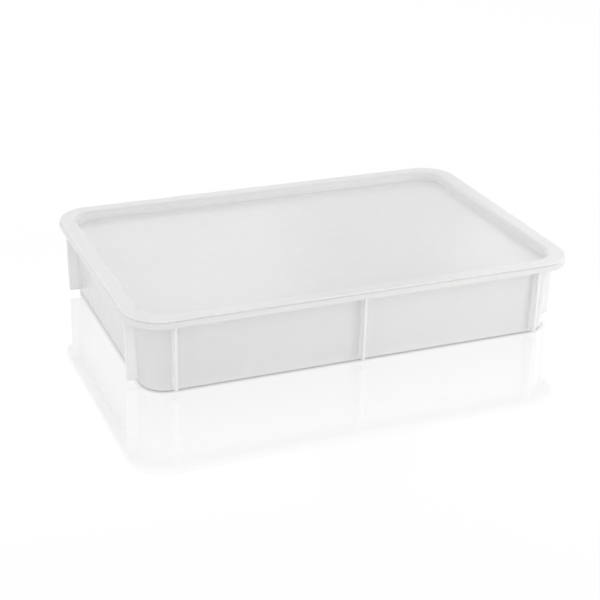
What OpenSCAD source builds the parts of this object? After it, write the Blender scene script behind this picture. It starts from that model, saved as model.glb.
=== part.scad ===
/* [Footprint] */
// Length over the rim
box_l = 600; // [400:10:800]
// Width over the rim
box_w = 400; // [300:10:600]
// Height of the open box, foot to rim
box_h = 102; // [70:1:160]
// Radius of the rim's corners in plan
rim_corner = 47; // [40:1:52]
// Radius that the walls' corners would have if they stood at the rim's outer face
wall_corner = 54; // [48:1:60]

/* [Walls] */
// Distance from the rim's outer face to the wall, at the top
wall_in_top = 17.3; // [16:0.1:19]
// Distance from the rim's outer face to the wall, at the foot
wall_in_foot = 22; // [21:0.1:25]
// Thickness of the side walls
wall_t = 2.5; // [2:0.1:3]
// Thickness of the floor
floor_t = 3; // [2.4:0.1:4]
// Radius where the wall turns into the foot
foot_r = 3.5; // [2:0.5:4]
// Radius inside, where the wall meets the floor
floor_r = 8; // [4:0.5:10]

/* [Rim] */
// Height of the rim's outer band
rim_h = 8.2; // [7:0.1:12]
// Thickness of the rim's top plate and of its band
rim_t = 2.6; // [2:0.1:3]
// Radius of the rim's upper outer edge
rim_r = 2.4; // [1:0.1:2.5]

/* [Foot] */
// Width of the flat ring that the box stands on
foot_w = 12; // [8:0.5:16]
// How far the floor's underside lies above that ring
foot_lift = 0.8; // [0.6:0.1:1.2]
// Radius of the gate mark in the middle of the underside
gate_r = 6; // [4:0.5:10]

/* [Stacking fins] */
// Thickness of a fin at its free edge
fin_t = 2.9; // [2:0.1:4]
// Thickness of a fin at the wall
fin_root_t = 3.7; // [3:0.1:5]
// Distance from the rim's outer face to the fin's free edge, under the rim
fin_in_top = 4.9; // [4:0.1:9]
// The same distance at the fin's lower end
fin_in_low = 6.0; // [5:0.1:12]
// Radius of the fin's lower outer corner
fin_end_r = 2.5; // [1:0.5:4]
// Radius along the free edge
fin_edge_r = 0.9; // [0.3:0.1:1]
// Radius in the corner between fin and wall
fin_root_r = 2; // [1:0.5:3]
// Height of the fin's lower end above the foot
fin_z = 6.5; // [4:0.5:9]
// Distance of the outer fins on a long side from the rim's short side
long_fin_x = 54.5; // [52:0.5:90]
// Distance of the fins on a short side from the rim's long side
short_fin_y = 56.5; // [52:0.5:90]

/* [Lid] */
// Thickness of the lid's flat rim
lid_rim_t = 2.4; // [2.2:0.1:5]
// How far the lid's edge stays inside the box's rim
lid_edge_in = 0.7; // [0.4:0.1:1.5]
// Radius of the lid's upper outer edge
lid_edge_r = 1.2; // [0.8:0.1:1.4]
// Depth of the panel below the rim
lid_depth = 12; // [8:0.5:16]
// Thickness of the lid's panel
lid_t = 2.3; // [1.8:0.1:3]
// Radius of the crest between rim and recess
crest_r = 5; // [3:0.5:6]
// Gap all round between the lid's plug and the box's mouth
plug_gap = 0.5; // [0.3:0.1:1]

/* [Hidden] */
$fn = 96;
// Straight steps in a rounded corner of a section
arc_steps = 7;
// Small radius on moulded edges
edge_r = 0.7;
// The flat stretch of a rim where its outer and its inner ring overlap
seam_from = 5;
seam_to = 15;
// How deep a fin's root reaches into the wall
root_in = 1.2;
// Slope of the recess wall, sideways run for each unit of height
recess_slope = 0.10;
// Height of the gate mark, which stays short of the standing plane
gate_h = 0.5;
rim_z = box_h - rim_h;
plate_z = box_h - rim_t;
floor_z = foot_lift + floor_t;
foot_in = wall_in_foot + foot_r + foot_w;
lid_z = box_h + lid_rim_t;
panel_z = lid_z - lid_depth;
panel_low = panel_z - lid_t;
plug_in = wall_in_top + wall_t + plug_gap;
plug_in_low = plug_in + recess_slope * (box_h - panel_low);
recess_in = plug_in + lid_t - recess_slope * crest_r;
recess_in_low = recess_in + recess_slope * lid_depth;
wall_slope = (wall_in_foot - wall_in_top) / box_h;
fin_slope = (fin_in_low - fin_in_top) / (plate_z + edge_r - fin_z);

// Inset of the wall's outer face at height z
function wall_in(z) = wall_in_foot - wall_slope * z;

function unit(v) = v / norm(v);

// Angle from vector u round to vector v, the short way
function turn(u, v) = atan2(u[0] * v[1] - u[1] * v[0], u * v);

// Points that round corner b, between its neighbours a and c, to radius r
function rounded(a, b, c, r) =
    r == 0 ? [b] :
    let (
        u = unit(a - b),
        v = unit(c - b),
        half = acos(u * v) / 2,
        mid = b + unit(u + v) * r / sin(half),
        from = b + u * r / tan(half) - mid,
        to = b + v * r / tan(half) - mid,
        start = atan2(from[1], from[0]),
        sweep = turn(from, to)
    )
    [for (i = [0 : arc_steps]) mid + r * [cos(start + sweep * i / arc_steps), sin(start + sweep * i / arc_steps)]];

// Outline through vertices [inset, height, radius], with every corner rounded to its radius
function outline(v) =
    let (n = len(v), p = [for (q = v) [q[0], q[1]]])
    [for (i = [0 : n - 1]) each rounded(p[(i + n - 1) % n], p[i], p[(i + 1) % n], v[i][2])];

// Section whose insets count inward from the rim's outer face, drawn at its distance from the corner's centre
module section(v, corner) {
    polygon([for (p = outline(v)) [corner - p[0], p[1]]]);
}

// Section swept round a rounded rectangle with corner radius corner at the rim's outer face
module swept(v, corner) {
    half_l = box_l / 2 - corner;
    half_w = box_w / 2 - corner;
    for (i = [0 : 3]) {
        sx = (i == 0 || i == 3) ? 1 : -1;
        sy = i < 2 ? 1 : -1;
        translate([sx * half_l, sy * half_w, 0])
            rotate([0, 0, 90 * i])
                rotate_extrude(angle = 90)
                    section(v, corner);
    }
    for (side = [0, 180])
        rotate([0, 0, side]) {
            translate([half_l, half_w, 0])
                rotate([90, 0, 0])
                    linear_extrude(height = 2 * half_w)
                        section(v, corner);
            translate([-half_l, half_w, 0])
                rotate([90, 0, 90])
                    linear_extrude(height = 2 * half_l)
                        section(v, corner);
        }
}

// Plate from height z0 to z1 that fills the middle of a sweep
module middle(z0, z1, corner) {
    translate([corner - box_l / 2, corner - box_w / 2, z0])
        cube([box_l - 2 * corner, box_w - 2 * corner, z1 - z0]);
}

// Plan outline v drawn at inset y and run up the box, leaning outward by slope
module leaning(v, y, slope) {
    translate([0, y, 0])
        rotate([atan(slope), 0, 0])
            linear_extrude(height = box_h)
                polygon(outline(v));
}

// One stacking fin at the origin: its free edge points to -Y, and y = 0 is the rim's outer face
module fin() {
    half = fin_root_t / 2;
    wide = half + 2 * fin_root_r;
    reach = wall_in_foot - fin_in_top;
    // Free edge and lower end, as seen from the side
    side = [
        [fin_in_top, plate_z + edge_r, 0],
        [fin_in_low, fin_z, fin_end_r],
        [wall_in(fin_z) + root_in, fin_z, 0],
        [wall_in(plate_z) + root_in, plate_z + edge_r, 0]
    ];
    // Tapered sides, which run out into the wall
    flanks = [
        [-wide, root_in, 0],
        [-wide, 0, 0],
        [-half, 0, fin_root_r],
        [-fin_t / 2, -reach, 0],
        [fin_t / 2, -reach, 0],
        [half, 0, fin_root_r],
        [wide, 0, 0],
        [wide, root_in, 0]
    ];
    // Rounded free edge, wider than the fin from there on
    tip = [
        [-fin_t / 2, 0, fin_edge_r],
        [fin_t / 2, 0, fin_edge_r],
        [wide, reach, 0],
        [-wide, reach, 0]
    ];
    intersection() {
        translate([-wide, 0, 0])
            rotate([90, 0, 90])
                linear_extrude(height = 2 * wide)
                    polygon(outline(side));
        leaning(flanks, wall_in_foot, wall_slope);
        leaning(tip, fin_in_low + fin_slope * fin_z, fin_slope);
    }
    // Web that carries the fin on across the rim's channel
    translate([-fin_t / 2, rim_t / 2, rim_z + edge_r])
        cube([fin_t, wall_in_top + root_in - rim_t / 2, rim_h - rim_t]);
}

// Fins on the four sides: three on each long side, two on each short side
module fins() {
    for (side = [0, 180])
        rotate([0, 0, side]) {
            for (x = [long_fin_x - box_l / 2, 0, box_l / 2 - long_fin_x])
                translate([x, -box_w / 2, 0])
                    fin();
            for (y = [short_fin_y - box_w / 2, box_w / 2 - short_fin_y])
                translate([-box_l / 2, y, 0])
                    rotate([0, 0, -90])
                        fin();
        }
}

// Outer half of the box's rim: the turned-down band and the edge of the top plate
module tub_rim() {
    swept([
        [0, box_h, rim_r],
        [0, rim_z, edge_r],
        [rim_t, rim_z, edge_r],
        [rim_t, plate_z, edge_r],
        [seam_to, plate_z, 0],
        [seam_to, box_h, 0]
    ], rim_corner);
}

// Inner half of the rim, the leaning wall, the foot ring and the floor
module tub_wall() {
    swept([
        [seam_from, box_h, 0],
        [seam_from, plate_z, 0],
        [wall_in(plate_z), plate_z, 2 * edge_r],
        [wall_in_foot, 0, foot_r],
        [foot_in, 0, 0],
        [foot_in + foot_lift, foot_lift, 0],
        [wall_corner, foot_lift, 0],
        [wall_corner, floor_z, 0],
        [wall_in(floor_z) + wall_t, floor_z, floor_r],
        [wall_in_top + wall_t, box_h, 2 * edge_r]
    ], wall_corner);
    middle(foot_lift, floor_z, wall_corner);
}

// Open box with a turned-down rim, leaning walls and fins that let it stack
module tub() {
    color([0.95, 0.95, 0.94]) {
        tub_rim();
        tub_wall();
        fins();
        translate([0, 0, foot_lift - gate_h])
            cylinder(r = gate_r, h = gate_h + floor_t / 2);
    }
}

// Outer half of the lid's rim
module lid_rim() {
    swept([
        [lid_edge_in, lid_z, lid_edge_r],
        [lid_edge_in, box_h, edge_r],
        [seam_to, box_h, 0],
        [seam_to, lid_z, 0]
    ], rim_corner);
}

// Crest, recess wall and panel
module lid_recess() {
    swept([
        [seam_from, lid_z, 0],
        [seam_from, box_h, 0],
        [plug_in, box_h, edge_r],
        [plug_in_low, panel_low, lid_t + edge_r],
        [wall_corner, panel_low, 0],
        [wall_corner, panel_z, 0],
        [recess_in_low, panel_z, 2 * edge_r],
        [recess_in, lid_z, crest_r]
    ], wall_corner);
    middle(panel_low, panel_z, wall_corner);
}

// Lid whose recess drops into the box's mouth and takes the foot of the box above
module lid() {
    color([0.97, 0.97, 0.96]) {
        lid_rim();
        lid_recess();
    }
}

tub();
lid();
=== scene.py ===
"""A lidded dough proofing box on a plain pale studio floor. All lengths are in metres."""

import math

import bpy
from mathutils import Matrix, Vector


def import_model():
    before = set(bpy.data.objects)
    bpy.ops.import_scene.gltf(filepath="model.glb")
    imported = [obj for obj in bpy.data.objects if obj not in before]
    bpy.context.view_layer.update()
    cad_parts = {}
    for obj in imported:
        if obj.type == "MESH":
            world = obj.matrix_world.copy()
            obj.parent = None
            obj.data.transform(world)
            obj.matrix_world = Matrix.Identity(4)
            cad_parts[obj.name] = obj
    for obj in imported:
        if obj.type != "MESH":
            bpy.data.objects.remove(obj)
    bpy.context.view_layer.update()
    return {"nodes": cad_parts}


# The photograph's camera, as solved from the rim, the foot and the outline. Angles are in degrees.
IMAGE_PX = 600
FOCAL_PX = 1448.09
SENSOR_MM = 36.0
CLIP = (0.05, 60.0)
CAMERA_TARGET = (0.0, 0.0, 0.050)
CAMERA_DISTANCE = 1.96403
CAMERA_TURN = -22.422
CAMERA_PITCH = 24.278
CAMERA_ROLL = -1.164
TARGET_PX = (306.484, 271.76)

# Floor: its colour as a source of light, and how much of what the camera sees is plain white
FLOOR_Z = -0.0003
FLOOR_HALF = 9.0
FLOOR_COLOUR = 0.85
FLOOR_WHITE_SHARE = 0.94
FLOOR_MIRROR_ROUGHNESS = 0.07
# Half size of the box's foot, and the mirror's share beside it and at its reach from it
FOOT_HALF = (0.278, 0.178)
MIRROR_NEAR = 0.30
MIRROR_FAR = 0.03
MIRROR_REACH = 0.24
# Painted contact shadow: the thin dark line where the foot stands, darkened into the floor's white
CONTACT_REACH = 0.006
CONTACT_PAINTED_SHADOW = 0.60
CONTACT_SAMPLES = 16

# World light: its level all round, and what each side adds or takes away
WORLD_ALL_ROUND = 0.555
WORLD_SIDES = (
    ((-1.0, 0.0, 0.0), 0.82),
    ((0.0, 1.0, 0.0), 0.67),
    ((0.0, -1.0, 0.0), 0.99),
    ((1.0, 0.0, 0.0), 0.20),
    ((-0.707, -0.707, 0.0), -0.25),
)
# Reflections show white up to this height of a direction, and less from there to overhead
WHITE_UP_TO = 0.50
WHITE_OVERHEAD = 0.35

# Lamps: place, aim, width, height, power in watts
LAMPS = {
    "window_behind": ((0.2, 2.0, 1.2), (0.0, 0.0, 0.05), 1.2, 0.7, 1.56),
    "low_behind": ((0.3, 2.2, 0.45), (0.0, 0.0, 0.05), 1.4, 0.5, 0.47),
    "side_right_back": ((1.2, 1.0, 0.9), (0.0, 0.0, 0.05), 0.8, 0.6, 1.06),
    "side_right_low": ((1.3, 0.1, 0.35), (0.2, 0.0, 0.05), 0.8, 0.5, 1.90),
    "front_near": ((0.6, -0.9, 0.25), (0.2, -0.2, 0.05), 0.5, 0.35, 0.83),
}
# Fill light that shows in no reflection
NOT_REFLECTED = ("front_near",)

# Milky white moulded plastic
PLASTIC_COLOUR = (0.850, 0.848, 0.842)
PLASTIC_IOR = 1.49
SUBSURFACE_WEIGHT = 0.60
SUBSURFACE_RADIUS = (0.0060, 0.0058, 0.0053)
ROUGHNESS = (0.19, 0.27)
TONE_LIMIT = 1.16
# Noises: scale per metre, detail, roughness. The part of their range that counts is NOISE_SPAN.
CLOUDS = (7.0, 3.0, 0.5)
MOTTLE = (55.0, 3.0, 0.6)
GRAIN = (1500.0, 2.0, 0.5)
NOISE_SPAN = (0.3, 0.7)
# How much lighter or darker each noise makes the tone, and how high it stands
CLOUD_TONE = 0.010
MOTTLE_TONE = 0.006
GRAIN_TONE = 0.006
MOTTLE_HEIGHT = 0.000040
GRAIN_HEIGHT = 0.000030
# Hair scratches: turn of each set in degrees, tilt in radians, stretch, and the peaks that show
HAIR_TURNS = (24.0, 112.0)
HAIR_TILT = (0.2, 0.1)
HAIR_STRETCH = (7.0, 520.0, 7.0)
HAIR_SPAN = (0.71, 0.79)
HAIR_ROUGHNESS = 0.03
HAIR_DEPTH = 0.0000012
# Edges: how far in they reach, how much lighter they are painted (painted light for light passing
# through them) and how much smoother, and the bend that counts
EDGE_REACH = 0.0013
EDGE_PAINTED_GLOW = 0.060
EDGE_POLISH = 0.05
EDGE_SPAN = (0.999, 0.90)
EDGE_SAMPLES = 4
# Painted light in inside corners, for the light the milky plastic passes on into them: reach, and
# how much lighter
CORNER_REACH = 0.020
CORNER_PAINTED_LIGHT = 0.24
CORNER_SAMPLES = 8
# Painted shade: the outer face of the tub's rim is painted a little greyer, from the height where
# the rim's band starts
BAND_FADE = (0.0925, 0.0945)
BAND_OUTWARD = (0.0, 0.1)
BAND_PAINTED_SHADE = 0.085
# Where each piece lies in the noises, so that the two don't repeat each other
TUB_SEED = 0.0
LID_SEED = 3.7
SEED_SHIFT = (1.0, 0.7, 0.3)


def image_plane_axes(turn, pitch, roll):
    """Right, down and forward directions of the camera."""
    a, e, r = (math.radians(v) for v in (turn, pitch, roll))
    level = math.cos(e)
    forward = Vector((-math.sin(a) * level, math.cos(a) * level, -math.sin(e)))
    right = forward.cross(Vector((0.0, 0.0, 1.0))).normalized()
    down = forward.cross(right)
    return (
        math.cos(r) * right + math.sin(r) * down,
        -math.sin(r) * right + math.cos(r) * down,
        forward,
    )


def add_camera():
    right, down, forward = image_plane_axes(CAMERA_TURN, CAMERA_PITCH, CAMERA_ROLL)
    middle = IMAGE_PX / 2
    across = (TARGET_PX[0] - middle) / FOCAL_PX * CAMERA_DISTANCE
    below = (TARGET_PX[1] - middle) / FOCAL_PX * CAMERA_DISTANCE
    place = Vector(CAMERA_TARGET) - across * right - below * down - CAMERA_DISTANCE * forward
    data = bpy.data.cameras.new("camera")
    data.sensor_fit = "HORIZONTAL"
    data.sensor_width = SENSOR_MM
    data.lens = FOCAL_PX * SENSOR_MM / IMAGE_PX
    data.clip_start, data.clip_end = CLIP
    camera = bpy.data.objects.new("camera", data)
    axes = Matrix((right, -down, -forward)).transposed()
    camera.matrix_world = Matrix.Translation(place) @ axes.to_4x4()
    bpy.context.scene.collection.objects.link(camera)
    bpy.context.scene.camera = camera


def add_lamp(name, place, aim, width, height, power):
    data = bpy.data.lights.new(name, "AREA")
    data.shape = "RECTANGLE"
    data.size = width
    data.size_y = height
    data.energy = power
    lamp = bpy.data.objects.new(name, data)
    lamp.location = place
    lamp.rotation_euler = (Vector(aim) - Vector(place)).to_track_quat("-Z", "Y").to_euler()
    lamp.visible_camera = False
    lamp.visible_glossy = name not in NOT_REFLECTED
    bpy.context.scene.collection.objects.link(lamp)


def grey(level):
    return (level, level, level, 1.0)


class Nodes:
    """Short calls for building a node tree."""

    def __init__(self, tree):
        self.tree = tree
        tree.nodes.clear()

    def add(self, kind, settings=None, **inputs):
        """A node. An input's name has _ for a space."""
        node = self.tree.nodes.new(kind)
        for key, value in (settings or {}).items():
            setattr(node, key, value)
        for key, value in inputs.items():
            self.put(node.inputs[key.replace("_", " ")], value)
        return node

    def put(self, socket, value):
        """Link value to the socket if it is another node's output, or else set it there."""
        if isinstance(value, bpy.types.NodeSocket):
            self.tree.links.new(value, socket)
        else:
            socket.default_value = value

    def fill(self, kind, values, settings=None):
        """A node with its first inputs filled in order."""
        node = self.add(kind, settings)
        for socket, value in zip(node.inputs, values):
            self.put(socket, value)
        return node

    def math(self, operation, a, b, clamp=False):
        settings = {"operation": operation, "use_clamp": clamp}
        return self.fill("ShaderNodeMath", (a, b), settings).outputs[0]

    def total(self, first, *others):
        for other in others:
            first = self.math("ADD", first, other)
        return first

    def vector(self, operation, a, b):
        return self.fill("ShaderNodeVectorMath", (a, b), {"operation": operation}).outputs

    def spread(self, value, low, high, to_low, to_high):
        """value from low..high mapped to to_low..to_high, and held there outside."""
        return self.fill("ShaderNodeMapRange", (value, low, high, to_low, to_high)).outputs[0]

    def noise(self, where, scale, detail, roughness):
        node = self.add(
            "ShaderNodeTexNoise", Vector=where, Scale=scale, Detail=detail, Roughness=roughness
        )
        return node.outputs["Fac"]

    def blend(self, factor, a, b):
        """Shader a where factor is 0, b where it is 1."""
        return self.fill("ShaderNodeMixShader", (factor, a, b)).outputs[0]

    def lobe(self, direction, side, weight):
        """weight in the direction of side, falling to 0 at right angles to it."""
        along = self.vector("DOT_PRODUCT", direction, side)["Value"]
        ahead = self.math("MAXIMUM", along, 0.0)
        return self.math("MULTIPLY", self.math("MULTIPLY", ahead, ahead), weight)

    def seen(self):
        """1 for a ray that shows the background: camera, reflection or clear material."""
        path = self.add("ShaderNodeLightPath").outputs
        either = self.math("MAXIMUM", path["Is Camera Ray"], path["Is Glossy Ray"])
        return self.math("MAXIMUM", either, path["Is Transmission Ray"])


def light_world():
    """Uneven soft light on the object, and a white background."""
    world = bpy.data.worlds.new("studio")
    world.use_nodes = True
    n = Nodes(world.node_tree)
    direction = n.add("ShaderNodeTexCoord").outputs["Generated"]
    strength = WORLD_ALL_ROUND
    for side, weight in WORLD_SIDES:
        strength = n.math("ADD", n.lobe(direction, side, weight), strength)
    light = n.add("ShaderNodeBackground", Color=grey(1.0), Strength=strength).outputs[0]
    height = n.add("ShaderNodeSeparateXYZ", Vector=direction).outputs["Z"]
    dimmed = n.spread(height, WHITE_UP_TO, 1.0, 1.0, WHITE_OVERHEAD)
    shown = n.math("MAXIMUM", n.add("ShaderNodeLightPath").outputs["Is Camera Ray"], dimmed)
    white = n.add("ShaderNodeBackground", Color=grey(1.0), Strength=shown).outputs[0]
    n.add("ShaderNodeOutputWorld", Surface=n.blend(n.seen(), light, white))
    bpy.context.scene.world = world


def floor_material():
    """Matt to the light it passes on, and white with the object's shadow, a painted contact shadow
    by the foot, and the mirror image.
    """
    material = bpy.data.materials.new("floor_white")
    material.use_nodes = True
    n = Nodes(material.node_tree)
    matt = n.add("ShaderNodeBsdfDiffuse", Color=grey(FLOOR_COLOUR)).outputs[0]
    pale = n.add("ShaderNodeBsdfDiffuse", Color=grey(1.0)).outputs[0]
    settings = {"samples": CONTACT_SAMPLES}
    # Painted contact shadow: the floor's white is darker close to the foot
    sky = n.add("ShaderNodeAmbientOcclusion", settings, Distance=CONTACT_REACH).outputs["AO"]
    shade = n.spread(sky, 0.0, 1.0, 1.0 - CONTACT_PAINTED_SHADOW, 1.0)
    white = n.add("ShaderNodeEmission", Color=grey(1.0), Strength=shade).outputs[0]
    mirror = n.add(
        "ShaderNodeBsdfGlossy", Color=grey(1.0), Roughness=FLOOR_MIRROR_ROUGHNESS
    ).outputs[0]
    shown = n.blend(mirror_share(n), n.blend(FLOOR_WHITE_SHARE, pale, white), mirror)
    n.add("ShaderNodeOutputMaterial", Surface=n.blend(n.seen(), matt, shown))
    return material


def mirror_share(n):
    """How much the floor mirrors: most beside the foot, less with distance from it."""
    where = n.add("ShaderNodeNewGeometry").outputs["Position"]
    x, y, _ = n.add("ShaderNodeSeparateXYZ", Vector=where).outputs
    beside = n.math("SUBTRACT", n.math("ABSOLUTE", x, 0.0), FOOT_HALF[0])
    before = n.math("SUBTRACT", n.math("ABSOLUTE", y, 0.0), FOOT_HALF[1])
    away = n.math("MAXIMUM", beside, before)
    return n.spread(away, 0.0, MIRROR_REACH, MIRROR_NEAR, MIRROR_FAR)


def add_floor():
    h = FLOOR_HALF
    mesh = bpy.data.meshes.new("floor")
    corners = [(-h, -h, FLOOR_Z), (h, -h, FLOOR_Z), (h, h, FLOOR_Z), (-h, h, FLOOR_Z)]
    mesh.from_pydata(corners, [], [(0, 1, 2, 3)])
    mesh.materials.append(floor_material())
    floor = bpy.data.objects.new("floor", mesh)
    bpy.context.scene.collection.objects.link(floor)


def plastic(name, seed, painted_band_shade):
    """Milky moulded plastic: faint mottling, satin grain, hair scratches, burnished edges with
    painted light, painted light in inside corners, and painted shade on the tub rim's outer face
    where asked.
    """
    material = bpy.data.materials.new(name)
    material.use_nodes = True
    n = Nodes(material.node_tree)
    raw = n.add("ShaderNodeTexCoord").outputs["Object"]
    where = n.vector("ADD", raw, tuple(seed * s for s in SEED_SHIFT))[0]
    clouds = n.noise(where, *CLOUDS)
    mottle = n.noise(where, *MOTTLE)
    grain = n.noise(where, *GRAIN)
    hairs = scratches(n, where)
    # Edge mask: painted light on edges, and the burnish that makes them smoother
    edge_glow_and_burnish = edge_painted_glow_and_burnish_mask(n)

    # Tone: random noises, plus painted light on edges and painted light in inside corners
    tone = n.total(
        n.spread(clouds, *NOISE_SPAN, -CLOUD_TONE, CLOUD_TONE),
        n.spread(mottle, *NOISE_SPAN, -MOTTLE_TONE, MOTTLE_TONE),
        n.spread(grain, *NOISE_SPAN, -GRAIN_TONE, GRAIN_TONE),
        n.math("MULTIPLY", edge_glow_and_burnish, EDGE_PAINTED_GLOW),
        n.math("MULTIPLY", painted_corner_light_mask(n), CORNER_PAINTED_LIGHT),
        1.0,
    )
    # Painted shade on the outer face of the tub's rim
    if painted_band_shade:
        tone = n.math("SUBTRACT", tone, n.math("MULTIPLY", painted_band_shade_mask(n, raw), painted_band_shade))
    tone = n.math("MINIMUM", tone, TONE_LIMIT)
    colour = n.add("ShaderNodeVectorMath", {"operation": "SCALE"}, Scale=tone)
    n.put(colour.inputs[0], PLASTIC_COLOUR)

    rough = n.spread(mottle, *NOISE_SPAN, *ROUGHNESS)
    rough = n.math("ADD", rough, n.math("MULTIPLY", hairs, HAIR_ROUGHNESS))
    rough = n.math("SUBTRACT", rough, n.math("MULTIPLY", edge_glow_and_burnish, EDGE_POLISH))

    height = n.math("MULTIPLY", grain, GRAIN_HEIGHT)
    height = n.math("ADD", height, n.math("MULTIPLY", mottle, MOTTLE_HEIGHT))
    height = n.math("SUBTRACT", height, n.math("MULTIPLY", hairs, HAIR_DEPTH))
    bump = n.add("ShaderNodeBump", Height=height, Strength=1.0, Distance=1.0)

    shader = n.add(
        "ShaderNodeBsdfPrincipled",
        Base_Color=colour.outputs[0],
        Roughness=rough,
        Normal=bump.outputs[0],
        IOR=PLASTIC_IOR,
        Subsurface_Weight=SUBSURFACE_WEIGHT,
        Subsurface_Radius=SUBSURFACE_RADIUS,
        Subsurface_Scale=1.0,
    )
    n.add("ShaderNodeOutputMaterial", Surface=shader.outputs[0])
    return material


def scratches(n, where):
    """Two crossing sets of hair scratches, 0 to 1."""
    sets = []
    for turn in HAIR_TURNS:
        mapping = n.add(
            "ShaderNodeMapping",
            Vector=where,
            Rotation=(*HAIR_TILT, math.radians(turn)),
            Scale=HAIR_STRETCH,
        ).outputs[0]
        sets.append(n.spread(n.noise(mapping, 1.0, 1.0, 0.5), *HAIR_SPAN, 0.0, 1.0))
    return n.math("MAXIMUM", *sets)


def edge_painted_glow_and_burnish_mask(n):
    """1 on edges, 0 on flat walls: edges get painted light for the light passing through them, and
    the real burnish of hands.
    """
    rounded = n.add("ShaderNodeBevel", {"samples": EDGE_SAMPLES}, Radius=EDGE_REACH).outputs[0]
    straight = n.add("ShaderNodeNewGeometry").outputs["Normal"]
    match = n.vector("DOT_PRODUCT", rounded, straight)["Value"]
    return n.spread(match, *EDGE_SPAN, 0.0, 1.0)


def painted_corner_light_mask(n):
    """0 in the open, rising towards 1 deep in a corner of the piece itself: where painted light
    lightens the colour.
    """
    settings = {"samples": CORNER_SAMPLES, "only_local": True}
    sky = n.add("ShaderNodeAmbientOcclusion", settings, Distance=CORNER_REACH).outputs["AO"]
    return n.math("SUBTRACT", 1.0, sky, clamp=True)


def painted_band_shade_mask(n, where):
    """1 on the outer face of the tub's rim, where shade is painted, 0 on the rim's top and inside
    and everything below.
    """
    height = n.add("ShaderNodeSeparateXYZ", Vector=where).outputs["Z"]
    level = n.spread(height, *BAND_FADE, 0.0, 1.0)
    flat = n.vector("MULTIPLY", where, (1.0, 1.0, 0.0))[0]
    normal = n.add("ShaderNodeTexCoord").outputs["Normal"]
    outward = n.vector("DOT_PRODUCT", flat, normal)["Value"]
    return n.math("MULTIPLY", level, n.spread(outward, *BAND_OUTWARD, 0.0, 1.0))


def dress(obj, material):
    for slot in obj.material_slots:
        slot.material = material


def main():
    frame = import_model()
    bpy.context.scene.view_settings.view_transform = "Standard"
    add_camera()
    light_world()
    for name, lamp in LAMPS.items():
        add_lamp(name, *lamp)
    add_floor()
    # The tub gets painted shade on its rim's outer face; the lid gets none
    dress(frame["nodes"]["tub"], plastic("tub_plastic", TUB_SEED, BAND_PAINTED_SHADE))
    dress(frame["nodes"]["lid"], plastic("lid_plastic", LID_SEED, 0.0))


main()
